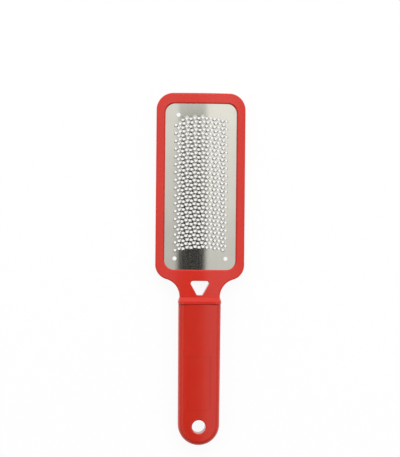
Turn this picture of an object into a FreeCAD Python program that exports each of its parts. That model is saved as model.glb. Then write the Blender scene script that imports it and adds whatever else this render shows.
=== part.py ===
import FreeCAD, Part
import math
import os

import Sketcher
from FreeCAD import Placement, Rotation, Vector

# A foot file lying on its back: +X across it, +Y towards the tip of its head, +Z out of its rasp face.
# The origin is on the surface that it lies on, under the middle of its length and width.

DRIVING_SIZES = {
    # whole tool and the outline of its head
    "overall_length": 260,
    "head_length": 138.1,
    "head_width": 66,
    "head_tip_corner": 12.2,
    "head_neck_corner": 11.1,
    "neck_width": 29.8,
    "neck_fillet": 13.3,
    "neck_straight": 0.3,
    # window in the bezel, which shows the plate
    "window_length": 122.7,
    "window_width": 53.2,
    "window_corner": 7,
    "window_tip_margin": 7.9,
    "window_chamfer": 0.9,
    # crown of the head, which every face round the plate's edge shares
    "crown_radius": 120,
    "plate_height": 9.6,
    "plate_thickness": 0.5,
    "plate_overlap": 2.4,
    "plate_corner": 8,
    "plate_side_gap": 0.2,
    "seat_gap": 0.1,
    "parting_gap": 0.15,
    "lip_thickness": 1.3,
    "bezel_edge_round": 1.2,
    "neck_back_round": 1.5,
    # trapezoid opening in the neck
    "slot_from_head": 0.7,
    "slot_height": 10.6,
    "slot_tip_width": 16,
    "slot_handle_width": 4.2,
    "slot_tip_corner": 1.8,
    "slot_handle_corner": 1.2,
    "slot_edge_round": 0.5,
    # ring behind the head
    "ring_setback": 1.7,
    "ring_inner_step": 1,
    "ring_corner_round": 3,
    "ring_edge_round": 2,
    "ring_window_round": 0.8,
    "core_wall": 2,
    "core_depth": 5.2,
    "core_rib": 1.8,
    "tip_core_span": 23,
    "neck_core_span": 40,
    # pegs under the bezel, in sockets in the ring
    "peg_diameter": 2.4,
    "peg_bottom": 1.8,
    "peg_fit": 0.08,
    "peg_end_gap": 0.3,
    "side_peg_spacing": 45,
    "tip_peg_spacing": 30,
    # collar and tang
    "collar_flare": 3,
    "collar_band": 2,
    "collar_width": 31.9,
    "collar_height": 13.3,
    "collar_corner": 4.2,
    "seam_chamfer": 0.35,
    "tang_fit": 0.15,
    "tang_end_gap": 2,
    "tang_corner": 2.3,
    "tang_wall": 2,
    "tang_web": 2.4,
    "tang_end_chamfer": 0.8,
    # handle sleeve
    "sleeve_mouth_width": 31.4,
    "sleeve_end_radius": 15.3,
    "sleeve_height": 13,
    "sleeve_crown_radius": 120,
    "sleeve_wall": 2,
    "sleeve_front_round": 4,
    "sleeve_back_round": 3.5,
    "hang_hole_diameter": 10,
    "hang_hole_from_end": 13.7,
    "hang_hole_wall": 5,
    "hang_hole_round": 0.7,
    "panel_width": 17,
    "panel_length": 39.4,
    "panel_from_end": 26.1,
    "panel_depth": 0.2,
    # teeth and pilot holes in the plate
    "tooth_pitch": 2.93,
    "row_pitch": 2.9,
    "row_bow": 2.1,
    "field_tip_margin": 10.4,
    "tooth_height": 0.7,
    "tooth_base_diameter": 2.6,
    "tooth_rim_diameter": 1.9,
    "tooth_mouth_diameter": 1.6,
    "tooth_throat_diameter": 2.1,
    "pilot_diameter": 3,
    "pilot_from_window": 8.3,
    "tip_pilot_offset": 16.8,
    "neck_pilot_offset": 18.9,
    # how far a blank or a cutting outline reaches past the face that it is for
    "cut_margin": 2,
}
TOOTH_ROWS = 34
TEETH_PER_ROW = 13
TANG_CORES = 4
TIP_CORES = 3
NECK_CORES = 4
MATCH = 0.001  # lengths in millimetres closer than this count as equal when edges are chosen
SAMPLE_SHARES = (0.1, 0.5, 0.9)  # where along an edge its points are looked at

doc = FreeCAD.newDocument("foot_file")
sheet = doc.addObject("Spreadsheet::Sheet", "sizes")
for row, (alias, number) in enumerate(DRIVING_SIZES.items(), start=1):
    sheet.set(f"A{row}", alias)
    sheet.set(f"B{row}", str(number))
    sheet.setAlias(f"B{row}", alias)
doc.recompute()


class Formula:
    """A length worked out from the sheet: its value now, and the text that keeps it tied to the cells."""

    def __init__(self, value, text):
        self.value = value
        self.text = text

    def __add__(self, other):
        other = formula(other)
        return Formula(self.value + other.value, f"({self.text} + {other.text})")

    def __sub__(self, other):
        other = formula(other)
        return Formula(self.value - other.value, f"({self.text} - {other.text})")

    def __mul__(self, other):
        other = formula(other)
        return Formula(self.value * other.value, f"({self.text} * {other.text})")

    def __truediv__(self, other):
        other = formula(other)
        return Formula(self.value / other.value, f"({self.text} / {other.text})")

    def __neg__(self):
        return Formula(-self.value, f"(0 - {self.text})")


def formula(number):
    """A Formula as it is, and a plain number as a Formula."""
    return number if isinstance(number, Formula) else Formula(float(number), str(number))


def root(square):
    """Square root of a formula."""
    return Formula(math.sqrt(square.value), f"sqrt({square.text})")


def size(alias):
    """A driving size from the sheet."""
    return Formula(float(sheet.get(alias)), f"sizes.{alias}")


def sketch_on(body, name, plane, offset=0):
    """A sketch on one of the body's own planes, moved along the plane's normal (+Z for XY, -Y for XZ)."""
    sketch = body.newObject("Sketcher::SketchObject", name)
    support = next(feature for feature in body.Origin.OriginFeatures if feature.Role == plane)
    sketch.AttachmentSupport = (support, [""])
    sketch.MapMode = "FlatFace"
    sketch.setExpression("AttachmentOffset.Base.z", formula(offset).text)
    return sketch


def pin_coordinate(sketch, kind, axis, geometry, end, place):
    """Holds one coordinate of a drawn point at a formula, measured from the sketch's origin."""
    place = formula(place)
    if place.value == 0:
        sketch.addConstraint(Sketcher.Constraint("PointOnObject", geometry, end, axis))
        return
    if place.value > 0:
        index = sketch.addConstraint(Sketcher.Constraint(kind, -1, 1, geometry, end, place.value))
    else:
        place = -place
        index = sketch.addConstraint(Sketcher.Constraint(kind, geometry, end, -1, 1, place.value))
    sketch.setExpression(f"Constraints[{index}]", place.text)


def pin_point(sketch, geometry, end, x, y):
    """Holds a drawn point at (x, y)."""
    pin_coordinate(sketch, "DistanceX", -2, geometry, end, x)
    pin_coordinate(sketch, "DistanceY", -1, geometry, end, y)


def draw_outline(sketch, corners):
    """Draws a closed outline through its corners. A corner is (x, y), where a line leaves it, or
    (x, y, radius, turn), where an arc leaves it, anticlockwise for a turn of 1 and clockwise for -1."""
    drawn = []
    for corner, following in zip(corners, corners[1:] + corners[:1]):
        start = Vector(formula(corner[0]).value, formula(corner[1]).value, 0)
        stop = Vector(formula(following[0]).value, formula(following[1]).value, 0)
        if len(corner) == 2:
            drawn.append((sketch.addGeometry(Part.LineSegment(start, stop)), 1, 2))
            continue
        radius, turn = corner[2].value, corner[3]
        chord = stop - start
        rise = math.sqrt(radius ** 2 - (chord.Length / 2) ** 2)
        left = Vector(-chord.y, chord.x, 0).normalize()
        centre = (start + stop) / 2 + left * (turn * rise)
        begin, finish = (start, stop) if turn > 0 else (stop, start)
        first_angle = math.atan2(begin.y - centre.y, begin.x - centre.x)
        last_angle = math.atan2(finish.y - centre.y, finish.x - centre.x)
        if last_angle < first_angle:
            last_angle += 2 * math.pi
        circle = Part.Circle(centre, Vector(0, 0, 1), radius)
        geometry = sketch.addGeometry(Part.ArcOfCircle(circle, first_angle, last_angle))
        drawn.append((geometry, 1, 2) if turn > 0 else (geometry, 2, 1))
    for here, onward in zip(drawn, drawn[1:] + drawn[:1]):
        sketch.addConstraint(Sketcher.Constraint("Coincident", here[0], here[2], onward[0], onward[1]))
    for (geometry, start_end, _), corner in zip(drawn, corners):
        pin_point(sketch, geometry, start_end, corner[0], corner[1])
        if len(corner) == 4:
            index = sketch.addConstraint(Sketcher.Constraint("Radius", geometry, corner[2].value))
            sketch.setExpression(f"Constraints[{index}]", corner[2].text)


def draw_box(sketch, left, right, low, high, radius=None):
    """Draws a rectangle, with rounded corners where a radius is given."""
    if radius is None:
        draw_outline(sketch, [(left, low), (right, low), (right, high), (left, high)])
        return
    draw_outline(sketch, [
        (left + radius, low), (right - radius, low, radius, 1),
        (right, low + radius), (right, high - radius, radius, 1),
        (right - radius, high), (left + radius, high, radius, 1),
        (left, high - radius), (left, low + radius, radius, 1),
    ])


def draw_circle(sketch, x, y, diameter):
    """Draws a circle of a given diameter about (x, y)."""
    centre = Vector(formula(x).value, formula(y).value, 0)
    geometry = sketch.addGeometry(Part.Circle(centre, Vector(0, 0, 1), diameter.value / 2))
    pin_point(sketch, geometry, 3, x, y)
    index = sketch.addConstraint(Sketcher.Constraint("Diameter", geometry, diameter.value))
    sketch.setExpression(f"Constraints[{index}]", diameter.text)


def pad(body, name, sketch, length):
    """Adds the sketch's area along the sketch's normal."""
    feature = body.newObject("PartDesign::Pad", name)
    feature.Profile = sketch
    feature.setExpression("Length", length.text)
    doc.recompute()
    return feature


def pocket(body, name, sketch, length=None, along_normal=False):
    """Cuts the sketch's area away, against its normal unless told otherwise, and checks that it cut."""
    before = body.Shape.Volume
    feature = body.newObject("PartDesign::Pocket", name)
    feature.Profile = sketch
    feature.Reversed = along_normal
    if length is None:
        feature.Type = "ThroughAll"
    else:
        feature.setExpression("Length", length.text)
    doc.recompute()
    if body.Shape.Volume >= before:
        raise RuntimeError(f"{name} cuts nothing")
    return feature


def soften(body, kind, name, amount, chosen):
    """Rounds or bevels the chosen edges of the body as it stands."""
    base = body.Tip
    edges = [f"Edge{number}" for number, edge in enumerate(base.Shape.Edges, start=1) if chosen(edge)]
    feature = body.newObject(f"PartDesign::{kind}", name)
    feature.Base = (base, edges)
    feature.setExpression("Radius" if kind == "Fillet" else "Size", amount.text)
    doc.recompute()
    return feature


def repeat(body, name, feature, axis, count, step, backwards=False):
    """Repeats a feature along one of the body's own axes."""
    pattern = body.newObject("PartDesign::LinearPattern", name)
    pattern.Originals = [feature]
    line = next(origin for origin in body.Origin.OriginFeatures if origin.Role == axis)
    pattern.Direction = (line, [""])
    pattern.Reversed = backwards
    pattern.Occurrences = count
    pattern.setExpression("Length", (step * (count - 1)).text)
    body.Tip = pattern
    doc.recompute()
    return pattern


def spread(edge):
    """Points along an edge, its ends left out."""
    start, stop = edge.ParameterRange
    return [edge.valueAt(start + (stop - start) * share) for share in SAMPLE_SHARES]


def near(measure, target):
    """Whether a length equals a formula."""
    return abs(measure - formula(target).value) < MATCH


def at_height(edge, height):
    """Whether an edge lies at one height."""
    return all(near(point.z, height) for point in spread(edge))


def at_station(edge, station):
    """Whether an edge lies at one station along the tool."""
    return all(near(point.y, station) for point in spread(edge))


def within(edge, half, low, high):
    """Whether an edge lies between two stations and no further from the middle than a half width."""
    return all(abs(point.x) < half.value + MATCH and low.value - MATCH < point.y < high.value + MATCH
               for point in spread(edge))


def crown_at(x, radius, axis_height):
    """Height of a crowned face at a distance from the middle."""
    return axis_height + root(radius * radius - x * x)


def draw_crown(sketch, half, radius, axis_height, level):
    """Draws the area between a crown and a flat level above or below it."""
    height = crown_at(half, radius, axis_height)
    draw_outline(sketch, [(-half, height, radius, -1), (half, height), (half, level), (-half, level)])


def draw_crown_band(sketch, half, inner_radius, outer_radius, axis_height):
    """Draws the band between two crowns that share an axis."""
    low = crown_at(half, inner_radius, axis_height)
    high = crown_at(half, outer_radius, axis_height)
    draw_outline(sketch, [
        (-half, low, inner_radius, -1),
        (half, low),
        (half, high, outer_radius, 1),
        (-half, high),
    ])


def on_crown(edge, radius, axis_height):
    """Whether an edge lies on a crowned face."""
    return all(near(math.hypot(point.x, point.z - axis_height.value), radius) for point in spread(edge))


# Lengthwise stations, from the tip down to the end of the handle
tip_y = size("overall_length") / 2
end_y = -tip_y
head_bottom_y = tip_y - size("head_length")
window_top_y = tip_y - size("window_tip_margin")
window_bottom_y = window_top_y - size("window_length")
window_middle_y = (window_top_y + window_bottom_y) / 2
plate_top_y = window_top_y + size("plate_overlap")
plate_bottom_y = window_bottom_y - size("plate_overlap")
ring_bottom_y = head_bottom_y + size("ring_setback")
slot_tip_y = head_bottom_y - size("slot_from_head")

# Half widths
head_half = size("head_width") / 2
neck_half = size("neck_width") / 2
window_half = size("window_width") / 2
plate_half = window_half + size("plate_overlap")
margin = size("cut_margin")
beyond = head_half + margin

# Shoulder curve: the head's lower corner runs straight into the neck's fillet, with no line between
shoulder = size("head_neck_corner")
fillet = size("neck_fillet")
shoulder_x = head_half - shoulder
shoulder_y = head_bottom_y + shoulder
fillet_x = neck_half + fillet
fillet_across = fillet_x - shoulder_x
fillet_reach = shoulder + fillet
fillet_drop = root(fillet_reach * fillet_reach - fillet_across * fillet_across)
fillet_y = shoulder_y - fillet_drop
join_x = shoulder_x + fillet_across * shoulder / fillet_reach
join_y = shoulder_y - fillet_drop * shoulder / fillet_reach
neck_end_y = fillet_y - size("neck_straight")
mouth_y = neck_end_y - size("collar_flare") - size("collar_band")

# Crowned faces, one inside the other about one axis
crown_axis = size("plate_height") - size("crown_radius")
plate_front = size("crown_radius")
plate_back = plate_front - size("plate_thickness")
ring_top = plate_back - size("seat_gap")
frame_underside = ring_top + size("parting_gap")
rebate_roof = plate_front + size("seat_gap")
bezel_front = rebate_roof + size("lip_thickness")
bezel_height = crown_axis + bezel_front
blank_height = bezel_height + margin

# Pegs and sockets: three along each side rail and two in the tip rail
rebate_half = plate_half + size("plate_side_gap")
rebate_top_y = plate_top_y + size("plate_side_gap")
rebate_bottom_y = plate_bottom_y - size("plate_side_gap")
side_peg_x = (rebate_half + head_half) / 2
tip_peg_x = size("tip_peg_spacing") / 2
tip_peg_y = (rebate_top_y + tip_y) / 2
side_pegs = [(x, window_middle_y + size("side_peg_spacing") * step)
             for x in (-side_peg_x, side_peg_x) for step in (-1, 0, 1)]
tip_pegs = [(x, tip_peg_y) for x in (-tip_peg_x, tip_peg_x)]

# Sleeve, bore and tang
sleeve_axis = size("sleeve_height") - size("sleeve_crown_radius")
mouth_half = size("sleeve_mouth_width") / 2
end_radius = size("sleeve_end_radius")
bore_half = end_radius - size("sleeve_wall")
bore_low = size("sleeve_wall")
bore_high = size("sleeve_height") - size("sleeve_wall")
hang_y = end_y + size("hang_hole_from_end")
bore_end_y = hang_y + size("hang_hole_diameter") / 2 + size("hang_hole_wall")
tang_half = bore_half - size("tang_fit")
tang_low = bore_low + size("tang_fit")
tang_high = bore_high - size("tang_fit")
tang_end_y = bore_end_y + size("tang_end_gap")
tang_length = mouth_y - tang_end_y


def tip_corners():
    """The head's outline over its tip, from its right side round to its left side."""
    corner = size("head_tip_corner")
    return [
        (head_half, tip_y - corner, corner, 1),
        (head_half - corner, tip_y),
        (corner - head_half, tip_y, corner, 1),
        (-head_half, tip_y - corner),
    ]


def draw_pegs(sketch, places, diameter):
    """Draws a circle at each peg's place."""
    for x, y in places:
        draw_circle(sketch, x, y, diameter)


def draw_collar(sketch):
    """Draws the collar's section, which stands on the same surface as the back."""
    half = size("collar_width") / 2
    draw_box(sketch, -half, half, formula(0), size("collar_height"), size("collar_corner"))


def make_main_frame():
    """Moulded frame: bezel with a lip over the plate, neck, collar and the cored tang inside the handle."""
    body = doc.addObject("PartDesign::Body", "main_frame")

    plan = sketch_on(body, "frame_plan", "XY_Plane")
    draw_outline(plan, tip_corners() + [
        (-head_half, shoulder_y, shoulder, 1),
        (-join_x, join_y, fillet, -1),
        (-neck_half, fillet_y),
        (-neck_half, neck_end_y),
        (neck_half, neck_end_y),
        (neck_half, fillet_y, fillet, -1),
        (join_x, join_y, shoulder, 1),
        (head_half, shoulder_y),
    ])
    pad(body, "frame_blank", plan, blank_height)
    crown = sketch_on(body, "bezel_crown", "XZ_Plane", -neck_end_y)
    draw_crown(crown, beyond, bezel_front, crown_axis, blank_height + margin)
    pocket(body, "crown_cut", crown)
    soften(body, "Fillet", "bezel_edge", size("bezel_edge_round"),
           lambda edge: on_crown(edge, bezel_front, crown_axis) and not at_station(edge, neck_end_y))
    soften(body, "Fillet", "neck_back_edge", size("neck_back_round"),
           lambda edge: at_height(edge, 0) and not at_station(edge, neck_end_y))

    # The ring's place: everything under the bezel, from the tip down to the neck
    recess = sketch_on(body, "ring_recess", "XZ_Plane", size("parting_gap") - ring_bottom_y)
    draw_crown(recess, beyond, frame_underside, crown_axis, -margin)
    pocket(body, "recess_cut", recess)
    rebate = sketch_on(body, "plate_rebate", "XZ_Plane", -rebate_bottom_y)
    draw_crown_band(rebate, rebate_half, ring_top, rebate_roof, crown_axis)
    pocket(body, "rebate_cut", rebate, rebate_top_y - rebate_bottom_y)

    window = sketch_on(body, "window", "XY_Plane")
    draw_box(window, -window_half, window_half, window_bottom_y, window_top_y, size("window_corner"))
    pocket(body, "window_cut", window, along_normal=True)
    soften(body, "Chamfer", "window_edge", size("window_chamfer"),
           lambda edge: on_crown(edge, bezel_front, crown_axis)
           and within(edge, window_half, window_bottom_y, window_top_y))

    slot = sketch_on(body, "slot", "XY_Plane")
    draw_slot(slot)
    pocket(body, "slot_cut", slot, along_normal=True)
    slot_half = size("slot_tip_width") / 2
    slot_low_y = slot_tip_y - size("slot_height")
    soften(body, "Fillet", "slot_edge", size("slot_edge_round"),
           lambda edge: within(edge, slot_half, slot_low_y, slot_tip_y)
           and (on_crown(edge, bezel_front, crown_axis) or at_height(edge, 0)))

    for name, places in (("side_pegs", side_pegs), ("tip_pegs", tip_pegs)):
        pegs = sketch_on(body, name, "XY_Plane", size("peg_bottom"))
        draw_pegs(pegs, places, size("peg_diameter"))
        top = crown_at(places[-1][0], rebate_roof + size("lip_thickness") / 2, crown_axis)
        pad(body, f"{name}_pad", pegs, top - size("peg_bottom"))

    # Collar: a flare from the neck's section, then a band that the sleeve butts against
    flare_end = mouth_y + size("collar_band")
    neck_section = sketch_on(body, "neck_section", "XZ_Plane", -neck_end_y)
    draw_box(neck_section, -neck_half, neck_half, formula(0), bezel_height, size("neck_back_round"))
    flare_section = sketch_on(body, "flare_section", "XZ_Plane", -flare_end)
    draw_collar(flare_section)
    flare = body.newObject("PartDesign::AdditiveLoft", "collar_flare")
    flare.Profile = neck_section
    flare.Sections = [flare_section]
    doc.recompute()
    band = sketch_on(body, "collar_section", "XZ_Plane", -flare_end)
    draw_collar(band)
    pad(body, "collar_band", band, size("collar_band"))
    soften(body, "Chamfer", "collar_seam", size("seam_chamfer"), lambda edge: at_station(edge, mouth_y))

    # Tang, cored from both faces so that its walls, web and ribs are all thin
    tang = sketch_on(body, "tang_section", "XZ_Plane", -mouth_y)
    draw_box(tang, -tang_half, tang_half, tang_low, tang_high, size("tang_corner"))
    pad(body, "tang", tang, tang_length)
    soften(body, "Chamfer", "tang_end", size("tang_end_chamfer"), lambda edge: at_station(edge, tang_end_y))
    wall = size("tang_wall")
    core_step = (tang_length - wall) / TANG_CORES
    core_half = tang_half - wall
    core_depth = (tang_high - tang_low - size("tang_web")) / 2
    core_top_y = mouth_y - wall
    for name, level, upward in (("front_core", tang_high, False), ("back_core", tang_low, True)):
        core = sketch_on(body, name, "XY_Plane", level)
        draw_box(core, -core_half, core_half, core_top_y - core_step + wall, core_top_y)
        cut = pocket(body, f"{name}_cut", core, core_depth, along_normal=upward)
        repeat(body, f"{name}_row", cut, "Y_Axis", TANG_CORES, core_step, backwards=True)
    return body


def draw_slot(sketch):
    """Trapezoid with rounded corners, wide side towards the tip."""
    wide = size("slot_tip_width") / 2
    narrow = size("slot_handle_width") / 2
    tall = size("slot_height")
    slant = root(tall * tall + (wide - narrow) * (wide - narrow))
    across = (wide - narrow) / slant
    along = tall / slant
    # Distance from a corner to where its rounding starts: radius times the tangent of half the turn
    tip_reach = size("slot_tip_corner") * (across + 1) / along
    low_reach = size("slot_handle_corner") * along / (across + 1)
    low_y = slot_tip_y - tall
    tip_side = (wide - tip_reach * across, slot_tip_y - tip_reach * along)
    low_side = (narrow + low_reach * across, low_y + low_reach * along)
    draw_outline(sketch, [
        (narrow - low_reach, low_y, size("slot_handle_corner"), 1),
        low_side,
        (*tip_side, size("slot_tip_corner"), 1),
        (wide - tip_reach, slot_tip_y),
        (tip_reach - wide, slot_tip_y, size("slot_tip_corner"), 1),
        (-tip_side[0], tip_side[1]),
        (-low_side[0], low_side[1], size("slot_handle_corner"), 1),
        (low_reach - narrow, low_y),
    ])


def make_back_frame():
    """Moulded ring behind the head: it carries the plate's edge and has blind sockets for the pegs."""
    body = doc.addObject("PartDesign::Body", "back_frame")
    corner_drop = shoulder_y - ring_bottom_y
    corner_x = shoulder_x + root(shoulder * shoulder - corner_drop * corner_drop)
    plan = sketch_on(body, "ring_plan", "XY_Plane")
    draw_outline(plan, tip_corners() + [
        (-head_half, shoulder_y, shoulder, 1),
        (-corner_x, ring_bottom_y),
        (corner_x, ring_bottom_y, shoulder, 1),
        (head_half, shoulder_y),
    ])
    pad(body, "ring_blank", plan, blank_height)
    crown = sketch_on(body, "ring_crown", "XZ_Plane", -ring_bottom_y)
    draw_crown(crown, beyond, ring_top, crown_axis, blank_height + margin)
    pocket(body, "crown_cut", crown)
    soften(body, "Fillet", "ring_corners", size("ring_corner_round"),
           lambda edge: at_station(edge, ring_bottom_y)
           and all(near(abs(point.x), corner_x) for point in spread(edge)))
    soften(body, "Fillet", "ring_edge", size("ring_edge_round"), lambda edge: at_height(edge, 0))

    step = size("ring_inner_step")
    inner_half = window_half - step
    inner_bottom_y = window_bottom_y + step
    inner_top_y = window_top_y - step
    window = sketch_on(body, "ring_window", "XY_Plane")
    draw_box(window, -inner_half, inner_half, inner_bottom_y, inner_top_y, size("window_corner") - step)
    pocket(body, "window_cut", window, along_normal=True)
    soften(body, "Fillet", "ring_window_edge", size("ring_window_round"),
           lambda edge: at_height(edge, 0) and within(edge, inner_half, inner_bottom_y, inner_top_y))

    sockets = sketch_on(body, "peg_sockets", "XY_Plane", size("peg_bottom") - size("peg_end_gap"))
    draw_pegs(sockets, side_pegs + tip_pegs, size("peg_diameter") + size("peg_fit") * 2)
    pocket(body, "socket_cut", sockets, along_normal=True)

    # Coring in the thick rails, open to the back
    wall = size("core_wall")
    rails = (
        ("tip_core", inner_top_y + wall, tip_y - wall, size("tip_core_span"), TIP_CORES),
        ("neck_core", ring_bottom_y + wall, inner_bottom_y - wall, size("neck_core_span"), NECK_CORES),
    )
    for name, low_y, high_y, span, count in rails:
        length = (span - size("core_rib") * (count - 1)) / count
        core = sketch_on(body, name, "XY_Plane")
        draw_box(core, span / -2, span / -2 + length, low_y, high_y)
        cut = pocket(body, f"{name}_cut", core, size("core_depth"), along_normal=True)
        repeat(body, f"{name}_row", cut, "X_Axis", count, length + size("core_rib"))
    return body


def make_handle_sleeve():
    """Moulded grip, open at its mouth, with a round end and a hang hole. It slides over the tang."""
    body = doc.addObject("PartDesign::Body", "handle_sleeve")
    # The sides leave the mouth's corners and run tangent to the round end
    round_y = end_y + end_radius
    reach = mouth_y - round_y
    span = mouth_half * mouth_half + reach * reach
    tangent = root(span - end_radius * end_radius)
    side_x = end_radius * (end_radius * mouth_half + tangent * reach) / span
    side_y = round_y + end_radius * (end_radius * reach - tangent * mouth_half) / span
    plan = sketch_on(body, "sleeve_plan", "XY_Plane")
    draw_outline(plan, [
        (mouth_half, mouth_y),
        (-mouth_half, mouth_y),
        (-side_x, side_y, end_radius, 1),
        (formula(0), end_y, end_radius, 1),
        (side_x, side_y),
    ])
    blank = size("sleeve_height") + margin
    pad(body, "sleeve_blank", plan, blank)
    crown_radius = size("sleeve_crown_radius")
    crown = sketch_on(body, "sleeve_crown", "XZ_Plane", margin - end_y)
    draw_crown(crown, mouth_half + margin, crown_radius, sleeve_axis, blank + margin)
    pocket(body, "crown_cut", crown)
    soften(body, "Fillet", "front_edge", size("sleeve_front_round"),
           lambda edge: on_crown(edge, crown_radius, sleeve_axis) and not at_station(edge, mouth_y))
    soften(body, "Fillet", "back_edge", size("sleeve_back_round"),
           lambda edge: at_height(edge, 0) and not at_station(edge, mouth_y))
    soften(body, "Chamfer", "mouth_edge", size("seam_chamfer"), lambda edge: at_station(edge, mouth_y))

    bore = sketch_on(body, "bore", "XZ_Plane", -mouth_y)
    draw_box(bore, -bore_half, bore_half, bore_low, bore_high, size("tang_corner") + size("tang_fit"))
    pocket(body, "bore_cut", bore, mouth_y - bore_end_y, along_normal=True)

    hole = sketch_on(body, "hang_hole", "XY_Plane")
    draw_circle(hole, formula(0), hang_y, size("hang_hole_diameter"))
    pocket(body, "hang_hole_cut", hole, along_normal=True)
    hole_radius = size("hang_hole_diameter") / 2

    def round_the_hole(edge):
        reaches = [math.hypot(point.x, point.y - hang_y.value) for point in spread(edge)]
        return all(near(reach, hole_radius) for reach in reaches)

    soften(body, "Fillet", "hang_hole_edge", size("hang_hole_round"),
           lambda edge: round_the_hole(edge) and edge.BoundBox.ZLength < hole_radius.value)

    # Shallow panel moulded into the front of the grip
    panel = sketch_on(body, "panel", "XZ_Plane", -(end_y + size("panel_from_end")))
    panel_floor = crown_radius - size("panel_depth")
    draw_crown_band(panel, size("panel_width") / 2, panel_floor, crown_radius + margin, sleeve_axis)
    pocket(body, "panel_cut", panel, size("panel_length"))
    return body


def make_plate_blank():
    """Bowed steel sheet with rounded corners and three pilot holes, before its teeth are raised."""
    body = doc.addObject("PartDesign::Body", "plate_blank")
    plan = sketch_on(body, "sheet_plan", "XY_Plane")
    draw_box(plan, -plate_half, plate_half, plate_bottom_y, plate_top_y, size("plate_corner"))
    pad(body, "sheet_blank", plan, blank_height)
    front = sketch_on(body, "sheet_front", "XZ_Plane", -plate_bottom_y)
    draw_crown(front, beyond, plate_front, crown_axis, blank_height + margin)
    pocket(body, "front_cut", front)
    back = sketch_on(body, "sheet_back", "XZ_Plane", -plate_bottom_y)
    draw_crown(back, beyond, plate_back, crown_axis, -margin)
    pocket(body, "back_cut", back)
    pilots = sketch_on(body, "pilot_holes", "XY_Plane")
    inset = size("pilot_from_window")
    draw_circle(pilots, -size("tip_pilot_offset"), window_top_y - inset, size("pilot_diameter"))
    draw_circle(pilots, -size("neck_pilot_offset"), window_bottom_y + inset, size("pilot_diameter"))
    draw_circle(pilots, size("neck_pilot_offset"), window_bottom_y + inset, size("pilot_diameter"))
    pocket(body, "pilot_cut", pilots, along_normal=True)
    return body


def tooth_places():
    """Places of the teeth: bowed rows, every other one half a pitch along, none by the tip pilot."""
    pitch = size("tooth_pitch").value
    row_step = size("row_pitch").value
    bow = size("row_bow").value
    field_half = pitch * (TEETH_PER_ROW - 1) / 2
    first_y = window_top_y.value - size("field_tip_margin").value
    for row in range(TOOTH_ROWS):
        shift = pitch / 4 if row % 2 == 0 else -pitch / 4
        for place in range(TEETH_PER_ROW):
            if row == 0 and place == 0:
                continue
            x = place * pitch - field_half + shift
            yield x, first_y - row * row_step - bow * (x / field_half) ** 2


def radial_cones(foot_depth, foot_diameter, top_height, top_diameter):
    """A cone square to the plate at each tooth, from a depth under its front to a height over it."""
    front = plate_front.value
    cones = []
    for x, y in tooth_places():
        outward = Vector(x / front, 0, math.sqrt(1 - (x / front) ** 2))
        foot = Vector(0, y, crown_axis.value) + outward * (front - foot_depth)
        tall = foot_depth + top_height
        cones.append(Part.makeCone(foot_diameter / 2, top_diameter / 2, tall, foot, outward))
    return Part.makeCompound(cones)


def make_rasp_plate():
    """Plate with its pierced teeth: each is a small cone drawn up round its hole."""
    blank = make_plate_blank()
    sheet_depth = size("plate_thickness").value
    height = size("tooth_height").value
    base = size("tooth_base_diameter").value
    rim = size("tooth_rim_diameter").value
    throat = size("tooth_throat_diameter").value
    mouth = size("tooth_mouth_diameter").value
    clear = sheet_depth / 2
    flank = (base - rim) / height
    taper = (throat - mouth) / (sheet_depth + height)
    rims = doc.addObject("Part::Feature", "tooth_rims")
    rims.Shape = radial_cones(clear, base + flank * clear, height, rim)
    punches = doc.addObject("Part::Feature", "tooth_punches")
    punch_foot = throat + taper * clear
    punch_top = mouth - taper * clear
    punches.Shape = radial_cones(sheet_depth + clear, punch_foot, height + clear, punch_top)
    raised = doc.addObject("Part::Fuse", "raised_sheet")
    raised.Base = blank
    raised.Tool = rims
    plate = doc.addObject("Part::Cut", "rasp_plate")
    plate.Base = raised
    plate.Tool = punches
    doc.recompute()
    return plate


subparts = [make_main_frame(), make_back_frame(), make_rasp_plate(), make_handle_sleeve()]
doc.recompute()
for item in doc.Objects:
    if "Invalid" in item.State or "Error" in item.State:
        raise RuntimeError(f"{item.Label} did not build")
for subpart in subparts:
    if subpart.Shape.isNull() or not subpart.Shape.isValid() or len(subpart.Shape.Solids) != 1:
        raise RuntimeError(f"{subpart.Label} is not one valid solid")

os.makedirs("parts", exist_ok=True)
for subpart in subparts:
    subpart.Placement = Placement(Vector(0, 0, 0), Rotation())
    subpart.Shape.exportStep(f"parts/{subpart.Label}.step")
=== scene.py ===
import bmesh
import bpy
import math
from mathutils import Matrix, Vector


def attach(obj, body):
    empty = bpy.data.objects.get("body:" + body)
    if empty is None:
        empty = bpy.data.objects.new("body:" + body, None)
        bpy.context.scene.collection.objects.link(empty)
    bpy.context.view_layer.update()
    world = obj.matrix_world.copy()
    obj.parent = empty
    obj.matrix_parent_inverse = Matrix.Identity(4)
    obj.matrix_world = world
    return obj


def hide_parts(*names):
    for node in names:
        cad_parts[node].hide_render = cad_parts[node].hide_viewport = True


# A foot file seen from above: a bowed steel rasp plate in a red moulded head, with a red grip on its tang.
# Sizes are written in millimetres, and MM turns them to Blender's metres.
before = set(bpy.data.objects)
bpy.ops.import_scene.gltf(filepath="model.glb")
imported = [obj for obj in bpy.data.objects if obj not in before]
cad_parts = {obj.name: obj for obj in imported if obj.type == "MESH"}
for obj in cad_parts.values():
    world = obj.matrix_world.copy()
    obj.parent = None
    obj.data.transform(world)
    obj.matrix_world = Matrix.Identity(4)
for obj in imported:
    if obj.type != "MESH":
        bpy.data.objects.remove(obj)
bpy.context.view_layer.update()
MM = 0.001

# Back ring
# Red ABS, injection moulded, with open coring in its back. It lies under the plate's edge, and the pegs of
# the front frame push into its sockets, so most of it shows only from behind or with the head apart.


def linear(hex_colour):
    """An sRGB hex colour as the linear RGBA that a shader socket takes."""
    channels = [int(hex_colour[start:start + 2], 16) / 255 for start in (1, 3, 5)]
    return [c / 12.92 if c <= 0.04045 else ((c + 0.055) / 1.055) ** 2.4 for c in channels] + [1.0]


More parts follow.
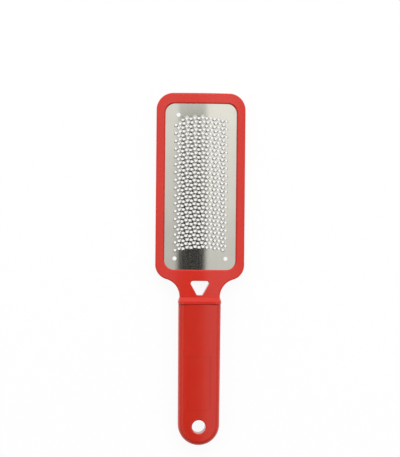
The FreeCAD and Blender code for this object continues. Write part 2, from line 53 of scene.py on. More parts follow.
def add_node(tree, kind, inputs=(), **settings):
    """Adds a node with its settings and inputs, which come by name or in order. An input that is another
    node's socket is linked, and any other is a value."""
    node = tree.nodes.new(kind)
    for name, value in settings.items():
        setattr(node, name, value)
    for socket, value in inputs.items() if isinstance(inputs, dict) else enumerate(inputs):
        if isinstance(value, bpy.types.NodeSocket):
            tree.links.new(value, node.inputs[socket])
        else:
            node.inputs[socket].default_value = value
    return node


# The places of a Mix node's two colours among its inputs, and of its mixed colour among its outputs
COLOUR_A = 6
COLOUR_B = 7
MIXED_COLOUR = 2


def moulded_abs(name, pigment, shaded_pigment):
    """ABS from a polished mould: an even pigment with faint flow marks along the tool, a soft gloss with
    handling smudges, the slight ripple that shrinkage leaves in a glossy face, and painted shade, a deeper
    red, in corners and seams."""
    flow_width = 9 * MM
    flow_stretch = 0.25
    painted_shade_red = "#5A0E08"
    corner_reach = 1.0 * MM
    painted_shade_share = 0.35
    smudge_width = 14 * MM
    polished = 0.17
    smudged = 0.23
    ripple_width = 2.2 * MM
    ripple_depth = 0.004 * MM
    abs_ior = 1.53
    material = bpy.data.materials.new(name)
    material.use_nodes = True
    tree = material.node_tree
    place = add_node(tree, "ShaderNodeTexCoord").outputs["Object"]
    along = add_node(tree, "ShaderNodeMapping", {"Vector": place, "Scale": (1, flow_stretch, 1)})
    flow = add_node(tree, "ShaderNodeTexNoise", {
        "Vector": along.outputs["Vector"], "Scale": 1 / flow_width, "Detail": 4.0, "Roughness": 0.55})
    tone = add_node(tree, "ShaderNodeMapRange", {
        "Value": flow.outputs["Fac"], "From Min": 0.3, "From Max": 0.7})
    colour = add_node(tree, "ShaderNodeMix", {
        "Factor": tone.outputs["Result"], COLOUR_A: linear(shaded_pigment), COLOUR_B: linear(pigment)},
        data_type="RGBA")
    # Painted shade: where the occlusion node finds a corner or seam close by, a deeper red is mixed into the
    # colour.
    corner = add_node(tree, "ShaderNodeAmbientOcclusion", {"Distance": corner_reach}, samples=8)
    depth = add_node(tree, "ShaderNodeMapRange", {
        "Value": corner.outputs["AO"],
        "From Min": 0.5, "From Max": 0.95, "To Min": painted_shade_share, "To Max": 0.0})
    colour = add_node(tree, "ShaderNodeMix", {
        "Factor": depth.outputs["Result"],
        COLOUR_A: colour.outputs[MIXED_COLOUR], COLOUR_B: linear(painted_shade_red)}, data_type="RGBA")
    smudge = add_node(tree, "ShaderNodeTexNoise", {
        "Vector": place, "Scale": 1 / smudge_width, "Detail": 6.0, "Roughness": 0.65})
    gloss = add_node(tree, "ShaderNodeMapRange", {
        "Value": smudge.outputs["Fac"],
        "From Min": 0.3, "From Max": 0.75, "To Min": polished, "To Max": smudged})
    ripple = add_node(tree, "ShaderNodeTexNoise", {
        "Vector": place, "Scale": 1 / ripple_width, "Detail": 2.0})
    relief = add_node(tree, "ShaderNodeBump", {
        "Height": ripple.outputs["Fac"], "Strength": 1.0, "Distance": ripple_depth})
    surface = tree.nodes["Principled BSDF"]
    surface.inputs["IOR"].default_value = abs_ior
    tree.links.new(colour.outputs[MIXED_COLOUR], surface.inputs["Base Color"])
    tree.links.new(gloss.outputs["Result"], surface.inputs["Roughness"])
    tree.links.new(relief.outputs["Normal"], surface.inputs["Normal"])
    return material


def dress(node, material):
    """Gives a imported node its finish."""
    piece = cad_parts[node]
    piece.data.materials.clear()
    piece.data.materials.append(material)


frame_abs = moulded_abs("red ABS of the frame, moulded glossy", "#CE2C1E", "#C9291B")
dress("back_frame", frame_abs)

# Rasp plate
# Stainless sheet, pierced from behind in bowed rows, so that a sharp rim stands up round each hole.
# It is bowed across its width, and its edge lies between the back ring and the lip of the front frame.
TEETH_PER_ROW = 13
ROWS = 34
PITCH = 2.93
ROW_STEP = 2.885
ROW_BOW = 2.1
FIRST_ROW_Y = 111.53
CROWN_RADIUS = 120
CROWN_AXIS_Z = -110.4
SHEET = 0.5
TOOTH_HEIGHT = 0.7
BOW_HALF = PITCH * (TEETH_PER_ROW - 1) / 2
FIELD_MIDDLE_Y = FIRST_ROW_Y - ROW_STEP * (ROWS - 1) / 2

# The sheet is made of cells, one to a tooth. A cell's sides have three steps each, and every other row lies
# two steps along, so that the cells of two rows meet corner to corner.
CELL_STEPS = 3
STAGGER_STEPS = 2
STAGGER = PITCH * STAGGER_STEPS / CELL_STEPS

# The points of a cell's edge, in shares of the pitch and of the row step
CELL_EDGE = [
    (1 / 2, 1 / 6), (1 / 2, 1 / 2), (1 / 6, 1 / 2),
    (-1 / 6, 1 / 2), (-1 / 2, 1 / 2), (-1 / 2, 1 / 6),
    (-1 / 2, -1 / 6), (-1 / 2, -1 / 2), (-1 / 6, -1 / 2),
    (1 / 6, -1 / 2), (1 / 2, -1 / 2), (1 / 2, -1 / 6),
]

# A tooth's oval rings, from the sheet's front up over the rim and down the hole: half width across the tool,
# half length along it, height, lean to the tip, and rise of the tip side. The punch leans the rim to the tip,
# and draws up the sheet a few thousandths of a millimetre there.
TOOTH_RINGS = [
    (1.17, 1.08, 0, 0.3, 0.006),
    (1.06, 1.01, 0.12, 0.26, 0),
    (1.0, 0.93, TOOTH_HEIGHT, 0.23, 0),
    (1.05, 1.0, -SHEET, 0.23, 0),
]


def helper_object(name, mesh_data):
    """A mesh object made from the mesh data, which it frees."""
    mesh = bpy.data.meshes.new(name)
    mesh_data.to_mesh(mesh)
    mesh_data.free()
    helper = bpy.data.objects.new(name, mesh)
    bpy.context.scene.collection.objects.link(helper)
    return helper


def band_faces(mesh_data, ring, following):
    """Joins two rings of as many points by a band of quads."""
    for here in range(len(ring)):
        onward = (here + 1) % len(ring)
        mesh_data.faces.new((ring[here], ring[onward], following[onward], following[here]))


def tooth_cell():
    """One tooth with the sheet round it, front and back. The points of its rings face those of its edge."""
    cell = bmesh.new()
    on_tooth = cell.verts.layers.float.new("on_tooth")
    edge = [(x * PITCH, y * ROW_STEP) for x, y in CELL_EDGE]
    half_step = 0.5
    turns = [math.tau * (step + half_step) / len(CELL_EDGE) for step in range(len(CELL_EDGE))]
    rings = [[(x, y, 0) for x, y in edge]]
    rings += [[(across * math.cos(turn), along * math.sin(turn) + lean, height + rise * math.sin(turn))
               for turn in turns] for across, along, height, lean, rise in TOOTH_RINGS]
    rings += [[(x, y, -SHEET) for x, y in edge]]
    made = [[cell.verts.new(Vector(point) * MM) for point in ring] for ring in rings]
    for ring in made[1:-1]:
        for vert in ring:
            vert[on_tooth] = 1.0
    for ring, following in zip(made, made[1:]):
        band_faces(cell, ring, following)
    return helper_object("tooth_cell", cell)


def bare_cell(name, steps):
    """A piece of sheet with no tooth, so many steps wide and one row long, front and back."""
    cell = bmesh.new()
    across = [(step - steps / 2) * PITCH / CELL_STEPS for step in range(steps + 1)]
    along = [(step / CELL_STEPS - 0.5) * ROW_STEP for step in range(CELL_STEPS + 1)]
    for height, order in ((0, 1), (-SHEET, -1)):
        grid = [[cell.verts.new(Vector((x, y, height)) * MM) for y in along] for x in across]
        for column in range(steps):
            for line in range(CELL_STEPS):
                corners = (grid[column][line], grid[column + 1][line],
                           grid[column + 1][line + 1], grid[column][line + 1])
                cell.faces.new(corners[::order])
    return helper_object(name, cell)


PLATE_HALF = 29
PLATE_TIP_Y = 124.5
PLATE_NECK_Y = -3.0
PLATE_CORNER = 8
FIELD_HALF = (PITCH * TEETH_PER_ROW + STAGGER) / 2
FIELD_TIP_Y = FIRST_ROW_Y + ROW_STEP / 2
FIELD_NECK_Y = FIELD_TIP_Y - ROW_STEP * ROWS
MARGIN_SHARES = (0, 0.12, 0.28, 0.46, 0.64, 0.82, 0.95, 1)


def row_drop(x):
    """How far a row's bow moves a point along the tool."""
    return -ROW_BOW * (x / BOW_HALF) ** 2


def field_edge():
    """Points round the toothed field, anticlockwise from its lower right corner, one list for each side."""
    across = CELL_STEPS * TEETH_PER_ROW + STAGGER_STEPS
    down = CELL_STEPS * ROWS
    right = [(FIELD_HALF, FIELD_NECK_Y + step * ROW_STEP / CELL_STEPS) for step in range(down)]
    top = [(FIELD_HALF - step * PITCH / CELL_STEPS, FIELD_TIP_Y) for step in range(across)]
    left = [(-FIELD_HALF, FIELD_TIP_Y - step * ROW_STEP / CELL_STEPS) for step in range(down)]
    bottom = [(-FIELD_HALF + step * PITCH / CELL_STEPS, FIELD_NECK_Y) for step in range(across)]
    return [[(x, y + row_drop(x)) for x, y in side] for side in (right, top, left, bottom)]


def outline_side(start, corner_turn, straight, count):
    """Points along one side of the plate's outline: half a corner, the straight, and half the next corner."""
    half_corner = math.pi / 4
    arc = PLATE_CORNER * half_corner
    length = arc * 2 + straight
    heading = Vector((math.cos(corner_turn), math.sin(corner_turn)))
    outward = Vector((heading.y, -heading.x))
    points = []
    for step in range(count):
        reach = length * step / count
        if reach < arc:
            turn = half_corner - reach / PLATE_CORNER
            offset = outward * math.cos(turn) * PLATE_CORNER - heading * math.sin(turn) * PLATE_CORNER
        elif reach < arc + straight:
            offset = heading * (reach - arc) + outward * PLATE_CORNER
        else:
            turn = (reach - arc - straight) / PLATE_CORNER
            onward = straight + math.sin(turn) * PLATE_CORNER
            offset = heading * onward + outward * math.cos(turn) * PLATE_CORNER
        points.append(tuple(start + offset))
    return points


def sheet_margin():
    """The plain sheet between the toothed field and the plate's outline, front, back and cut edge."""
    inner = field_edge()
    low_x, high_x = PLATE_CORNER - PLATE_HALF, PLATE_HALF - PLATE_CORNER
    low_y, high_y = PLATE_NECK_Y + PLATE_CORNER, PLATE_TIP_Y - PLATE_CORNER
    outer = [
        outline_side(Vector((high_x, low_y)), math.pi / 2, high_y - low_y, len(inner[0])),
        outline_side(Vector((high_x, high_y)), math.pi, high_x - low_x, len(inner[1])),
        outline_side(Vector((low_x, high_y)), -math.pi / 2, high_y - low_y, len(inner[2])),
        outline_side(Vector((low_x, low_y)), 0, high_x - low_x, len(inner[3])),
    ]
    inside = [Vector(point) for side in inner for point in side]
    outside = [Vector(point) for side in outer for point in side]
    margin = bmesh.new()
    front = []
    back = []
    for rings, height in ((front, 0), (back, -SHEET)):
        for share in MARGIN_SHARES:
            points = [near.lerp(far, share) * MM for near, far in zip(inside, outside)]
            rings.append([margin.verts.new((*point, height * MM)) for point in points])
    inwards = front[::-1]
    for ring, following in [*zip(inwards, inwards[1:]), *zip(back, back[1:])]:
        band_faces(margin, ring, following)
    band_faces(margin, back[-1], front[-1])
    return helper_object("rasp_plate_sheet", margin)


PILOT_RADIUS = 1.5
PILOTS = {"Tip Pilot": (-16.8, 113.8), "Left Pilot": (-18.9, 7.7), "Right Pilot": (18.9, 7.7)}


def pierced_rows_tree():
    """Sets the tooth cells in staggered, bowed rows inside the sheet's margin, pierces the pilot holes, and
    bows the whole sheet over its crown."""
    half_a_place = 0.5
    weld_reach = 0.004 * MM
    punch_sides = 32
    punch_length = 4 * MM
    tree = bpy.data.node_groups.new("pierced_rows", "GeometryNodeTree")
    named_inputs = {
        "Geometry": ["Margin"],
        "Object": ["Tooth", "Bare Cell", "End Cell"],
        "Int": ["Teeth per Row", "Rows per Grid", "Missing Place"],
        "Float": ["Row Length", "Grid Length", "Bow Curve", "Crown Radius", "Crown Axis", "Tooth Height",
                  "Pilot Radius"],
        "Vector": ["Even Rows", "Odd Rows", "Even Ends", "Odd Ends", "Row Pair", *PILOTS],
        "Material": ["Steel"],
    }
    for kind, names in named_inputs.items():
        for name in names:
            tree.interface.new_socket(name, in_out="INPUT", socket_type="NodeSocket" + kind)
    tree.interface.new_socket("Plate", in_out="OUTPUT", socket_type="NodeSocketGeometry")
    given = add_node(tree, "NodeGroupInput").outputs

    # Two grids of places, two thirds of a pitch and one row apart. The first row's first place has no tooth.
    grid = add_node(tree, "GeometryNodeMeshGrid", {
        "Size X": given["Row Length"], "Size Y": given["Grid Length"],
        "Vertices X": given["Teeth per Row"], "Vertices Y": given["Rows per Grid"]})
    even = add_node(tree, "GeometryNodeTransform", {
        "Geometry": grid.outputs["Mesh"], "Translation": given["Even Rows"]})
    odd = add_node(tree, "GeometryNodeTransform", {
        "Geometry": grid.outputs["Mesh"], "Translation": given["Odd Rows"]})
    index = add_node(tree, "GeometryNodeInputIndex").outputs["Index"]
    left_out = add_node(tree, "ShaderNodeMath", [
        index, given["Missing Place"], half_a_place], operation="COMPARE").outputs[0]
    toothed = add_node(tree, "ShaderNodeMath", [1.0, left_out], operation="SUBTRACT").outputs[0]

    # The teeth lean to the tip and to the neck in turn along a row, and alike down a column.
    passed = add_node(tree, "ShaderNodeMath", [index, given["Rows per Grid"]], operation="DIVIDE").outputs[0]
    column = add_node(tree, "ShaderNodeMath", [passed], operation="FLOOR").outputs[0]
    even_turn = add_node(tree, "ShaderNodeMath", [column, math.pi], operation="MULTIPLY").outputs[0]
    odd_turn = add_node(tree, "ShaderNodeMath", [even_turn, math.pi], operation="ADD").outputs[0]
    even_facing = add_node(tree, "ShaderNodeCombineXYZ", {"Z": even_turn}).outputs["Vector"]
    odd_facing = add_node(tree, "ShaderNodeCombineXYZ", {"Z": odd_turn}).outputs["Vector"]

    # One cell at each place, and a bare end cell at the short end of each row
    tooth = add_node(tree, "GeometryNodeObjectInfo", {"Object": given["Tooth"]}).outputs["Geometry"]
    bare = add_node(tree, "GeometryNodeObjectInfo", {"Object": given["Bare Cell"]}).outputs["Geometry"]
    end = add_node(tree, "GeometryNodeObjectInfo", {"Object": given["End Cell"]}).outputs["Geometry"]
    even_places = even.outputs["Geometry"]
    odd_places = odd.outputs["Geometry"]
    even_ends = add_node(tree, "GeometryNodeMeshLine", {
        "Count": given["Rows per Grid"], "Start Location": given["Even Ends"], "Offset": given["Row Pair"]})
    odd_ends = add_node(tree, "GeometryNodeMeshLine", {
        "Count": given["Rows per Grid"], "Start Location": given["Odd Ends"], "Offset": given["Row Pair"]})
    settings = [
        {"Points": even_places, "Selection": toothed, "Instance": tooth, "Rotation": even_facing},
        {"Points": even_places, "Selection": left_out, "Instance": bare},
        {"Points": odd_places, "Instance": tooth, "Rotation": odd_facing},
        {"Points": even_ends.outputs["Mesh"], "Instance": end},
        {"Points": odd_ends.outputs["Mesh"], "Instance": end},
    ]
    cells = add_node(tree, "GeometryNodeJoinGeometry")
    for setting in settings:
        placed = add_node(tree, "GeometryNodeInstanceOnPoints", setting)
        tree.links.new(placed.outputs["Instances"], cells.inputs["Geometry"])

    # The rows bow. A tooth keeps its shape and moves with its middle.
    position = add_node(tree, "GeometryNodeInputPosition").outputs["Position"]
    x, y, z = add_node(tree, "ShaderNodeSeparateXYZ", [position]).outputs
    marked = add_node(tree, "GeometryNodeStoreNamedAttribute", {
        "Geometry": cells.outputs["Geometry"], "Name": "middle_x", "Value": x},
        data_type="FLOAT", domain="INSTANCE")
    real = add_node(tree, "GeometryNodeRealizeInstances", {"Geometry": marked.outputs["Geometry"]})
    middle = add_node(tree, "GeometryNodeInputNamedAttribute", {"Name": "middle_x"}, data_type="FLOAT")
    on_tooth = add_node(tree, "GeometryNodeInputNamedAttribute", {"Name": "on_tooth"}, data_type="FLOAT")
    station = add_node(tree, "ShaderNodeMix", {
        "Factor": on_tooth.outputs["Attribute"], "A": x, "B": middle.outputs["Attribute"]},
        data_type="FLOAT").outputs["Result"]
    squared = add_node(tree, "ShaderNodeMath", [station, station], operation="MULTIPLY").outputs[0]
    drop = add_node(tree, "ShaderNodeMath", [squared, given["Bow Curve"]], operation="MULTIPLY").outputs[0]
    shift = add_node(tree, "ShaderNodeCombineXYZ", {"Y": drop})
    bowed = add_node(tree, "GeometryNodeSetPosition", {
        "Geometry": real.outputs["Geometry"], "Offset": shift.outputs["Vector"]})

    # One sheet, with its pilot holes
    whole = add_node(tree, "GeometryNodeJoinGeometry")
    tree.links.new(given["Margin"], whole.inputs["Geometry"])
    tree.links.new(bowed.outputs["Geometry"], whole.inputs["Geometry"])
    welded = add_node(tree, "GeometryNodeMergeByDistance", {
        "Geometry": whole.outputs["Geometry"], "Distance": weld_reach})
    punch = add_node(tree, "GeometryNodeMeshCylinder", {
        "Vertices": punch_sides, "Radius": given["Pilot Radius"], "Depth": punch_length})
    punches = add_node(tree, "GeometryNodeJoinGeometry")
    for name in PILOTS:
        set_punch = add_node(tree, "GeometryNodeTransform", {
            "Geometry": punch.outputs["Mesh"], "Translation": given[name]})
        tree.links.new(set_punch.outputs["Geometry"], punches.inputs["Geometry"])
    pierced = add_node(tree, "GeometryNodeMeshBoolean", {
        "Mesh 1": welded.outputs["Geometry"]}, operation="DIFFERENCE", solver="EXACT")
    tree.links.new(punches.outputs["Geometry"], pierced.inputs["Mesh 2"])

    # Over the crown: a point's height stays square to the sheet
    rise = add_node(tree, "ShaderNodeMath", [z, given["Tooth Height"]], operation="DIVIDE").outputs[0]
    raised = add_node(tree, "GeometryNodeStoreNamedAttribute", {
        "Geometry": pierced.outputs["Mesh"], "Name": "rise", "Value": rise},
        data_type="FLOAT", domain="POINT")
    radius = given["Crown Radius"]
    lift = add_node(tree, "ShaderNodeMath", [z, radius], operation="DIVIDE").outputs[0]
    stretch = add_node(tree, "ShaderNodeMath", [lift, 1.0], operation="ADD").outputs[0]
    across = add_node(tree, "ShaderNodeMath", [x, x], operation="MULTIPLY").outputs[0]
    reach = add_node(tree, "ShaderNodeMath", [radius, radius], operation="MULTIPLY").outputs[0]
    upright = add_node(tree, "ShaderNodeMath", [reach, across], operation="SUBTRACT").outputs[0]
    height = add_node(tree, "ShaderNodeMath", [upright], operation="SQRT").outputs[0]
    crown_x = add_node(tree, "ShaderNodeMath", [x, stretch], operation="MULTIPLY").outputs[0]
    crown_z = add_node(tree, "ShaderNodeMath", [
        height, stretch, given["Crown Axis"]], operation="MULTIPLY_ADD").outputs[0]
    crown = add_node(tree, "ShaderNodeCombineXYZ", {"X": crown_x, "Y": y, "Z": crown_z})
    crowned = add_node(tree, "GeometryNodeSetPosition", {
        "Geometry": raised.outputs["Geometry"], "Position": crown.outputs["Vector"]})
    finished = add_node(tree, "GeometryNodeSetMaterial", {
        "Geometry": crowned.outputs["Geometry"], "Material": given["Steel"]})
    add_node(tree, "NodeGroupOutput", {"Plate": finished.outputs["Geometry"]})
    return tree


def rolled_stainless(name):
    """Rolled stainless sheet: bright and a little warm, with rolling lines along the tool and a faint cloud.
    The sides of the teeth, where the punch drew the steel, are painted darker grey as painted shade round
    each hole, and their torn rims are dull. The real rolling lines are finer, and are drawn this coarse so
    that they show."""
    line_width = 0.35 * MM
    line_stretch = 0.02
    line_depth = 0.0005 * MM
    smooth = 0.1
    lined = 0.15
    torn_more = 0.15
    cloud_width = 16 * MM
    cloud_steel = "#CBC9BE"
    clear_steel = "#D9D7CD"
    painted_shade_steel = "#86847D"
    material = bpy.data.materials.new(name)
    material.use_nodes = True
    tree = material.node_tree
    place = add_node(tree, "ShaderNodeTexCoord").outputs["Object"]
    along = add_node(tree, "ShaderNodeMapping", {"Vector": place, "Scale": (1, line_stretch, 1)})
    lines = add_node(tree, "ShaderNodeTexNoise", {
        "Vector": along.outputs["Vector"], "Scale": 1 / line_width, "Detail": 3.0})
    cloud = add_node(tree, "ShaderNodeTexNoise", {
        "Vector": place, "Scale": 1 / cloud_width, "Detail": 4.0})
    colour = add_node(tree, "ShaderNodeMix", {
        "Factor": cloud.outputs["Fac"], COLOUR_A: linear(cloud_steel), COLOUR_B: linear(clear_steel)},
        data_type="RGBA")
    rise = add_node(tree, "ShaderNodeAttribute", attribute_name="rise").outputs["Fac"]
    foot = add_node(tree, "ShaderNodeMapRange", {"Value": rise, "From Min": 0.0, "From Max": 0.25})
    rim = add_node(tree, "ShaderNodeMapRange", {"Value": rise, "From Min": 0.98, "From Max": 0.9})
    # Painted shade: the outer sides of the teeth, between their foot and their rim, take a darker grey.
    drawn = add_node(tree, "ShaderNodeMath", [
        foot.outputs["Result"], rim.outputs["Result"]], operation="MULTIPLY")
    colour = add_node(tree, "ShaderNodeMix", {
        "Factor": drawn.outputs[0],
        COLOUR_A: colour.outputs[MIXED_COLOUR], COLOUR_B: linear(painted_shade_steel)}, data_type="RGBA")
    torn = add_node(tree, "ShaderNodeMapRange", {
        "Value": rise, "From Min": 0.5, "From Max": 0.95, "To Min": 0.0, "To Max": torn_more})
    satin = add_node(tree, "ShaderNodeMapRange", {
        "Value": lines.outputs["Fac"],
        "From Min": 0.3, "From Max": 0.7, "To Min": smooth, "To Max": lined})
    rough = add_node(tree, "ShaderNodeMath", [
        satin.outputs["Result"], torn.outputs["Result"]], operation="ADD")
    relief = add_node(tree, "ShaderNodeBump", {
        "Height": lines.outputs["Fac"], "Strength": 1.0, "Distance": line_depth})
    surface = tree.nodes["Principled BSDF"]
    surface.inputs["Metallic"].default_value = 1.0
    tree.links.new(colour.outputs[MIXED_COLOUR], surface.inputs["Base Color"])
    tree.links.new(rough.outputs[0], surface.inputs["Roughness"])
    tree.links.new(relief.outputs["Normal"], surface.inputs["Normal"])
    return material


SHARP_FOLD = math.radians(50)


def made_plain(piece):
    """Turns a piece's node tree into its mesh, and smooths it up to its sharp folds."""
    evaluated = piece.evaluated_get(bpy.context.evaluated_depsgraph_get())
    mesh = bpy.data.meshes.new_from_object(evaluated)
    piece.modifiers.clear()
    piece.data = mesh
    mesh.shade_smooth()
    mesh.set_sharp_from_angle(angle=SHARP_FOLD)


cells = {
    "Tooth": tooth_cell(),
    "Bare Cell": bare_cell("bare_cell", CELL_STEPS),
    "End Cell": bare_cell("end_cell", STAGGER_STEPS),
}
plate = sheet_margin()
rows_tree = pierced_rows_tree()
rows_sizes = {
    "Teeth per Row": TEETH_PER_ROW,
    "Rows per Grid": ROWS // 2,
    "Missing Place": ROWS // 2 - 1,
    "Row Length": PITCH * (TEETH_PER_ROW - 1) * MM,
    "Grid Length": ROW_STEP * (ROWS - 2) * MM,
    "Even Rows": Vector((STAGGER / 2, FIELD_MIDDLE_Y + ROW_STEP / 2, 0)) * MM,
    "Odd Rows": Vector((-STAGGER / 2, FIELD_MIDDLE_Y - ROW_STEP / 2, 0)) * MM,
    "Even Ends": Vector((-PITCH * TEETH_PER_ROW / 2, FIRST_ROW_Y, 0)) * MM,
    "Odd Ends": Vector((PITCH * TEETH_PER_ROW / 2, FIRST_ROW_Y - ROW_STEP, 0)) * MM,
    "Row Pair": Vector((0, -2 * ROW_STEP, 0)) * MM,
    "Bow Curve": -ROW_BOW / BOW_HALF ** 2 / MM,
    "Crown Radius": CROWN_RADIUS * MM,
    "Crown Axis": CROWN_AXIS_Z * MM,
    "Tooth Height": TOOTH_HEIGHT * MM,
    "Pilot Radius": PILOT_RADIUS * MM,
    **{name: Vector((x, y, 0)) * MM for name, (x, y) in PILOTS.items()},
    "Steel": rolled_stainless("stainless sheet, rolled and pierced"),
    **cells,
}
rows = plate.modifiers.new("pierced_rows", "NODES")
rows.node_group = rows_tree
for socket in rows_tree.interface.items_tree:
    if socket.in_out == "INPUT" and socket.name in rows_sizes:
        rows[socket.identifier] = rows_sizes[socket.name]
made_plain(plate)
for helper in cells.values():
    bpy.data.objects.remove(helper)
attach(plate, "plate")
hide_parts("rasp_plate")

# Front frame
# Red ABS, injection moulded in one piece: bezel, slotted neck, collar, and the tang inside the grip.
# Its lip holds the plate's edge on the back ring, and the pegs under the bezel push into the ring's sockets.
dress("main_frame", frame_abs)

# Grip
# Red ABS sleeve, injection moulded hollow, with a hang hole in its round end and a shallow panel in its face.
# It is pushed over the tang up to the collar, and its red is a shade deeper than the frame's.
dress("handle_sleeve", moulded_abs("red ABS of the grip, moulded glossy", "#C52B1B", "#C02819"))

# Floor
# A pale paper sweep under the tool. What the camera, metal and glass see of it is near white, and it keeps a
# share of the tool's own shadow.
FLOOR_HALF = 3000 * MM
FLOOR_DROP = 0.2 * MM
SHADOW_SHARE = 0.08
floor_mesh = bpy.data.meshes.new("floor")
floor_mesh.from_pydata(
    [(x * FLOOR_HALF, y * FLOOR_HALF, -FLOOR_DROP) for x, y in ((-1, -1), (1, -1), (1, 1), (-1, 1))],
    [], [(0, 1, 2, 3)])
floor = bpy.data.objects.new("floor", floor_mesh)
bpy.context.scene.collection.objects.link(floor)
paper = bpy.data.materials.new("white paper sweep")
paper.use_nodes = True
tree = paper.node_tree
tree.nodes.clear()
rays = add_node(tree, "ShaderNodeLightPath").outputs
seen = add_node(tree, "ShaderNodeMath", [
    rays["Is Camera Ray"], rays["Is Glossy Ray"]], operation="MAXIMUM")
seen = add_node(tree, "ShaderNodeMath", [
    seen.outputs[0], rays["Is Transmission Ray"]], operation="MAXIMUM")
matt = add_node(tree, "ShaderNodeBsdfDiffuse", {"Color": linear("#F2F2F0")})
white = add_node(tree, "ShaderNodeEmission", {"Color": linear("#FFFFFF"), "Strength": 1.0})
kept = add_node(tree, "ShaderNodeMixShader", [
    SHADOW_SHARE, white.outputs["Emission"], matt.outputs["BSDF"]])
shown = add_node(tree, "ShaderNodeMixShader", [
    seen.outputs[0], matt.outputs["BSDF"], kept.outputs["Shader"]])
add_node(tree, "ShaderNodeOutputMaterial", {"Surface": shown.outputs["Shader"]})
floor_mesh.materials.append(paper)

# Studio light
# White soft boxes, brighter towards the tip, with a dark gap between the two overhead, which the bowed steel
# shows as a dark band. The camera sees plain white. The lamps light only the plastic and the paper.
world = bpy.data.worlds.new("studio")
bpy.context.scene.world = world
world.use_nodes = True
tree = world.node_tree
tree.nodes.clear()

# Directions overhead are slopes from straight up: aside to the right, and forward to the tip.
generated = add_node(tree, "ShaderNodeTexCoord").outputs["Generated"]
direction = add_node(tree, "ShaderNodeSeparateXYZ", [generated]).outputs
aside = add_node(tree, "ShaderNodeMath", [direction["X"], direction["Z"]], operation="DIVIDE").outputs[0]
forward = add_node(tree, "ShaderNodeMath", [direction["Y"], direction["Z"]], operation="DIVIDE").outputs[0]
gap_left = add_node(tree, "ShaderNodeMapRange", {
    "Value": aside, "From Min": -0.265, "From Max": -0.23}, interpolation_type="SMOOTHSTEP")
gap_right = add_node(tree, "ShaderNodeMapRange", {
    "Value": aside, "From Min": 0.135, "From Max": 0.105}, interpolation_type="SMOOTHSTEP")
gap = add_node(tree, "ShaderNodeMath", [
    gap_left.outputs["Result"], gap_right.outputs["Result"]], operation="MULTIPLY")
gap_level = add_node(tree, "ShaderNodeMapRange", {
    "Value": forward, "From Min": 0.069, "From Max": 0.077, "To Min": 0.03, "To Max": 1.35})
box_level = add_node(tree, "ShaderNodeMapRange", {
    "Value": forward, "From Min": -0.03, "From Max": 0.08, "To Min": 0.77, "To Max": 1.25})
side_level = add_node(tree, "ShaderNodeMapRange", {
    "Value": aside, "From Min": -0.35, "From Max": 0.1, "To Min": 0.86, "To Max": 1.0})
boxes = add_node(tree, "ShaderNodeMath", [
    box_level.outputs["Result"], side_level.outputs["Result"]], operation="MULTIPLY")
overhead = add_node(tree, "ShaderNodeMix", {
    "Factor": gap.outputs[0], "A": boxes.outputs[0], "B": gap_level.outputs["Result"]}, data_type="FLOAT")

# Lower down, the studio is dim towards the neck and lighter towards the tip.
neck_level = add_node(tree, "ShaderNodeMapRange", {
    "Value": direction["Y"], "From Min": -0.85, "From Max": -0.5, "To Min": 0.03, "To Max": 0.32})
tip_level = add_node(tree, "ShaderNodeMapRange", {
    "Value": direction["Y"], "From Min": -0.1, "From Max": 0.6, "To Min": 0.0, "To Max": 0.4})
around = add_node(tree, "ShaderNodeMath", [
    neck_level.outputs["Result"], tip_level.outputs["Result"]], operation="ADD")
steepness = add_node(tree, "ShaderNodeMapRange", {
    "Value": direction["Z"], "From Min": 0.81, "From Max": 0.87}, interpolation_type="SMOOTHSTEP")
studio = add_node(tree, "ShaderNodeMix", {
    "Factor": steepness.outputs["Result"], "A": around.outputs[0], "B": overhead.outputs["Result"]},
    data_type="FLOAT")

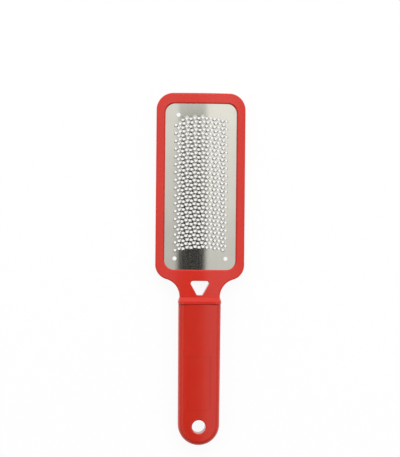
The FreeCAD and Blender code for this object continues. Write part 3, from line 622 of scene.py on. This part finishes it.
# The camera sees white everywhere, and metal and glass see it near the floor.
rays = add_node(tree, "ShaderNodeLightPath").outputs
mirrored = add_node(tree, "ShaderNodeMath", [
    rays["Is Glossy Ray"], rays["Is Transmission Ray"]], operation="MAXIMUM")
backdrop = add_node(tree, "ShaderNodeMapRange", {
    "Value": direction["Z"], "From Min": 0.15, "From Max": 0.05})
low = add_node(tree, "ShaderNodeMath", [
    mirrored.outputs[0], backdrop.outputs["Result"]], operation="MULTIPLY")
seen = add_node(tree, "ShaderNodeMath", [rays["Is Camera Ray"], low.outputs[0]], operation="MAXIMUM")
level = add_node(tree, "ShaderNodeMix", {
    "Factor": seen.outputs[0], "A": studio.outputs["Result"], "B": 1.0}, data_type="FLOAT")
sky = add_node(tree, "ShaderNodeBackground", {
    "Color": linear("#FFFFFF"), "Strength": level.outputs["Result"]})
add_node(tree, "ShaderNodeOutputWorld", {"Surface": sky.outputs["Background"]})

# The lamps and the camera point at AIM. Each lamp has its place, its two sides and its watts.
AIM = Vector((-0.2, 29.95, 8)) * MM
SOFT_BOXES = {
    "tip_box": ((0, 1300, 1300), (1800, 1000), 18),
    "left_box": ((-1400, 0, 900), (1800, 900), 6.5),
    "right_box": ((1400, 0, 900), (1800, 900), 8),
}
for name, (place, sides, watts) in SOFT_BOXES.items():
    lamp = bpy.data.lights.new(name, "AREA")
    lamp.shape = "RECTANGLE"
    lamp.size, lamp.size_y = sides[0] * MM, sides[1] * MM
    lamp.energy = watts
    box = bpy.data.objects.new(name, lamp)
    bpy.context.scene.collection.objects.link(box)
    box.location = Vector(place) * MM
    box.rotation_euler = (AIM - box.location).to_track_quat("-Z", "Y").to_euler()
    box.visible_glossy = False

# Camera
# Above the tool, a little to its left, and turned half a degree, as the photograph shows it.
MM_PER_PIXEL = 0.7393
FRAME_LONG_SIDE = 457
CAMERA_DISTANCE = 1200 * MM
CAMERA_LEAN = math.radians(3)
CAMERA_TURN = math.radians(0.53)
SENSOR_WIDTH = 36
camera_data = bpy.data.cameras.new("camera")
camera_data.sensor_width = SENSOR_WIDTH
camera_data.lens = SENSOR_WIDTH * CAMERA_DISTANCE / (FRAME_LONG_SIDE * MM_PER_PIXEL * MM)
camera = bpy.data.objects.new("camera", camera_data)
bpy.context.scene.collection.objects.link(camera)
back = Vector((-math.sin(CAMERA_LEAN), 0, math.cos(CAMERA_LEAN)))
right = Vector((-math.sin(CAMERA_TURN), math.cos(CAMERA_TURN), 0)).cross(back).normalized()
up = back.cross(right)
facing = Matrix((right, up, back)).transposed().to_4x4()
camera.matrix_world = Matrix.Translation(AIM + back * CAMERA_DISTANCE) @ facing
bpy.context.scene.camera = camera
bpy.context.scene.view_settings.view_transform = "Standard"
